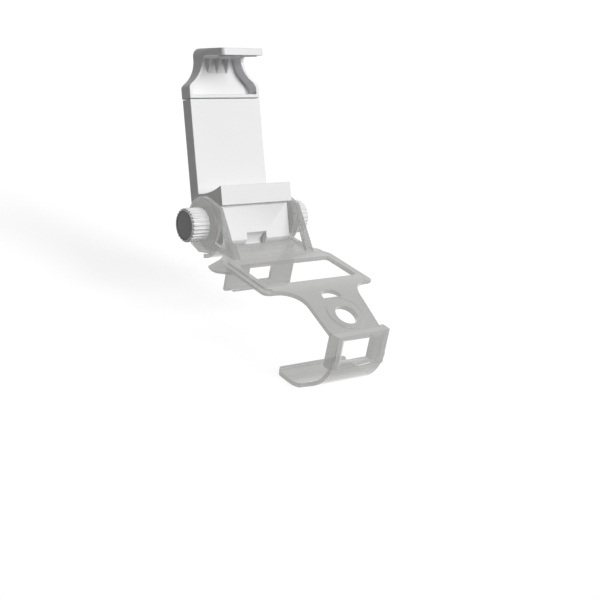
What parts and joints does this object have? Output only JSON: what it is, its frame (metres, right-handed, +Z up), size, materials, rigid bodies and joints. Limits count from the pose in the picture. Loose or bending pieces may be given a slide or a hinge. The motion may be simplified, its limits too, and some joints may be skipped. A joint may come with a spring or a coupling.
{
  "type": "game controller phone clip",
  "caption": "Clear clip-on base with a tilting spring clamp between two ears, set by ribbed side knobs, that holds a phone above a game controller.",
  "frame": {"origin": "on the seat plane under the base, at the middle of its rectangular window", "axes": "+Z up from the seat, +Y to the back, towards the ears and the clamp, X along the hinge axis"},
  "size_m": [0.0708, 0.1421, 0.1219],
  "materials": {
    "clear_plastic": "clear, polished, slightly smoky",
    "white_plastic": "satin",
    "knob_plastic": "satin",
    "cap_plastic": "satin",
    "pad_rubber": "matte",
    "disc_nylon": "satin nylon",
    "steel": "bright zinc",
    "spring_steel": "bright",
    "brass": "plain"
  },
  "bodies": {
    "base": {"base_shell": "clear_plastic", "left_washer": "steel", "right_washer": "steel"},
    "left_knob_body": {"left_knob": "knob_plastic", "left_knob_cap": "cap_plastic", "left_clamp_screw": "steel"},
    "right_knob_body": {"right_knob": "knob_plastic", "right_knob_cap": "cap_plastic", "right_clamp_screw": "steel"},
    "clamp": {"clamp_body": "white_plastic", "rear_cover": "white_plastic", "cover_screws": "steel", "lower_spring_pin": "steel", "left_nut": "brass", "right_nut": "brass", "left_friction_disc": "disc_nylon", "right_friction_disc": "disc_nylon", "lower_jaw_pad": "pad_rubber", "left_spring": "spring_steel", "right_spring": "spring_steel"},
    "jaw": {"sliding_jaw": "white_plastic", "upper_spring_pin": "steel", "upper_jaw_pad": "pad_rubber"}
  },
  "joints": [
    {"name": "clamp_tilt", "type": "hinge", "parent": "base", "child": "clamp", "pos_m": [0, 0.0456, 0.0081], "axis": [1, 0, 0], "range_deg": [-50, 40]},
    {"name": "left_knob_turn", "type": "hinge", "parent": "base", "child": "left_knob_body", "pos_m": [-0.0288, 0.0456, 0.0081], "axis": [-1, 0, 0], "range_deg": [0, 360]},
    {"name": "right_knob_turn", "type": "hinge", "parent": "base", "child": "right_knob_body", "pos_m": [0.0288, 0.0456, 0.0081], "axis": [1, 0, 0], "range_deg": [0, 360]},
    {"name": "jaw_slide", "type": "slide", "parent": "clamp", "child": "jaw", "axis": [0, 0.4067, 0.9135], "range_m": [0, 0.025], "stiffness_N_per_m": 300, "springref_m": -0.01, "deforming": ["left_spring", "right_spring"]}
  ]
}
